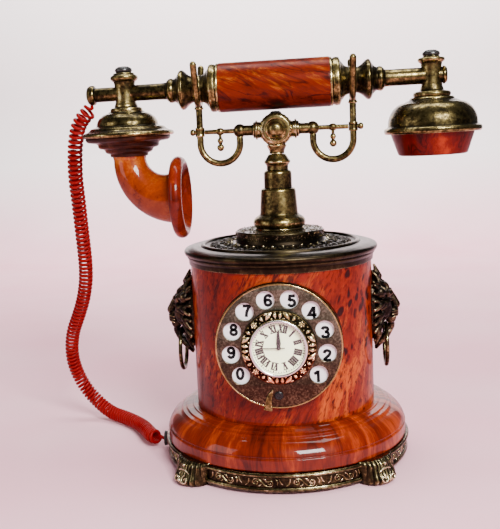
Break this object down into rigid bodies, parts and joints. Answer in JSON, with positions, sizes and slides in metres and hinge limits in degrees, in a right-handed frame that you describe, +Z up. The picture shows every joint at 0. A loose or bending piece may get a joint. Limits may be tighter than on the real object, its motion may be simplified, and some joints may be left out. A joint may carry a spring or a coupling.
{
  "type": "desk telephone",
  "caption": "Antique-style desk telephone: round lacquered wood drum with rotary dial and clock, lion ring pulls, bronze cradle and a handset with a horn mouthpiece.",
  "frame": {"origin": "on the desk, on the drum's axis, which is the centre of the base", "axes": "+Z up, the dial faces -Y, and the handset lies along X with its ear cup at +X"},
  "size_m": [0.2942, 0.1608, 0.2561],
  "materials": {
    "bronze_dark": "antique bronze plate, dark in the hollows and rubbed bright on the edges",
    "bronze": "antique brass plate with a mottled dark patina",
    "lion_bronze": "blackened cast metal with brass showing on the high spots",
    "felt": "black felt",
    "steel": "plain sheet steel",
    "burl_wood": "red-orange burl veneer under thick high-gloss lacquer",
    "grip_wood": "orange-red swirled wood under high-gloss lacquer",
    "cup_wood": "deep red stained wood, satin lacquer",
    "ring_wood": "dark red turned wood, gloss lacquer",
    "horn_lacquer": "orange-brown turned wood under high-gloss lacquer",
    "dial_white": "glossy white enamel with black digits",
    "bezel_silver": "satin silver plate",
    "clock_paper": "cream printed card",
    "clock_glass": "clear mineral glass",
    "hand_black": "gloss blue-black lacquer",
    "hand_steel": "plain steel",
    "black_plastic": "black moulded plastic",
    "board_green": "green solder resist",
    "jack_ivory": "ivory moulded plastic",
    "rubber_black": "black rubber",
    "cord_red": "glossy red PVC"
  },
  "bodies": {
    "root": {"base_ring": "bronze_dark", "foot_front_left": "bronze_dark", "foot_front_right": "bronze_dark", "foot_back_left": "bronze_dark", "foot_back_right": "bronze_dark", "foot_pads": "felt", "base_plate": "steel", "base_screws": "steel", "wood_base": "burl_wood", "drum": "burl_wood", "lid": "bronze_dark", "column": "bronze", "dial_housing": "bronze_dark", "number_plate": "dial_white", "dial_sleeve": "bronze", "finger_stop": "bronze", "clock_ring": "bronze", "clock_bezel": "bezel_silver", "clock_face": "clock_paper", "clock_glass": "clock_glass", "clock_movement": "black_plastic", "lion_left": "lion_bronze", "lion_right": "lion_bronze", "hook_switch": "black_plastic", "circuit_board": "board_green", "ringer": "black_plastic", "line_jack": "jack_ivory", "cord_grommet": "rubber_black", "handset_cord": "cord_red"},
    "handset": {"grip": "grip_wood", "ferrule_left": "bronze", "ferrule_right": "bronze", "tube_left": "bronze_dark", "tube_right": "bronze_dark", "mouth_post": "bronze", "ear_post": "bronze", "post_buttons": "black_plastic", "end_cap_left": "bronze_dark", "end_cap_right": "bronze_dark", "mouth_disc": "bronze_dark", "mouth_rings": "ring_wood", "horn": "horn_lacquer", "horn_bell": "horn_lacquer", "transmitter": "black_plastic", "ear_dome": "bronze_dark", "ear_cup": "cup_wood", "receiver": "black_plastic"},
    "cradle": {"hub": "bronze", "arm_left": "bronze", "arm_right": "bronze", "loop_left": "bronze", "loop_right": "bronze", "fork_left": "bronze", "fork_right": "bronze"},
    "dial": {"finger_wheel": "bronze"},
    "hour": {"hour_hand": "hand_black"},
    "minute": {"minute_hand": "hand_black"},
    "second": {"second_hand": "hand_steel"},
    "pull_left": {"ring_left": "bronze"},
    "pull_right": {"ring_right": "bronze"}
  },
  "joints": [
    {"name": "handset_lift", "type": "slide", "parent": "root", "child": "handset", "axis": [0, 0, 1], "range_m": [0, 0.06], "deforming": ["handset_cord"]},
    {"name": "cradle_rise", "type": "slide", "parent": "root", "child": "cradle", "axis": [0, 0, 1], "range_m": [0, 0.003]},
    {"name": "dial_turn", "type": "hinge", "parent": "root", "child": "dial", "pos_m": [0, -0.062, 0.0855], "axis": [0, 1, 0], "range_deg": [0, 300], "stiffness_Nm_per_rad": 0.004, "springref_deg": -34.38},
    {"name": "hour_turn", "type": "hinge", "parent": "root", "child": "hour", "pos_m": [0, -0.0654, 0.0855], "axis": [0, 1, 0], "continuous": true},
    {"name": "minute_turn", "type": "hinge", "parent": "root", "child": "minute", "pos_m": [0, -0.0659, 0.0855], "axis": [0, 1, 0], "continuous": true},
    {"name": "second_turn", "type": "hinge", "parent": "root", "child": "second", "pos_m": [0, -0.0663, 0.0855], "axis": [0, 1, 0], "continuous": true},
    {"name": "pull_swing_left", "type": "hinge", "parent": "root", "child": "pull_left", "pos_m": [-0.0668, 0, 0.084], "axis": [0, 1, 0], "range_deg": [0, 80]},
    {"name": "pull_swing_right", "type": "hinge", "parent": "root", "child": "pull_right", "pos_m": [0.0668, 0, 0.084], "axis": [0, -1, 0], "range_deg": [0, 80]}
  ],
  "couplings": [
    {"joint": "cradle_rise", "follows": "handset_lift", "ratio": 0.05},
    {"joint": "minute_turn", "follows": "hour_turn", "ratio": 12}
  ]
}
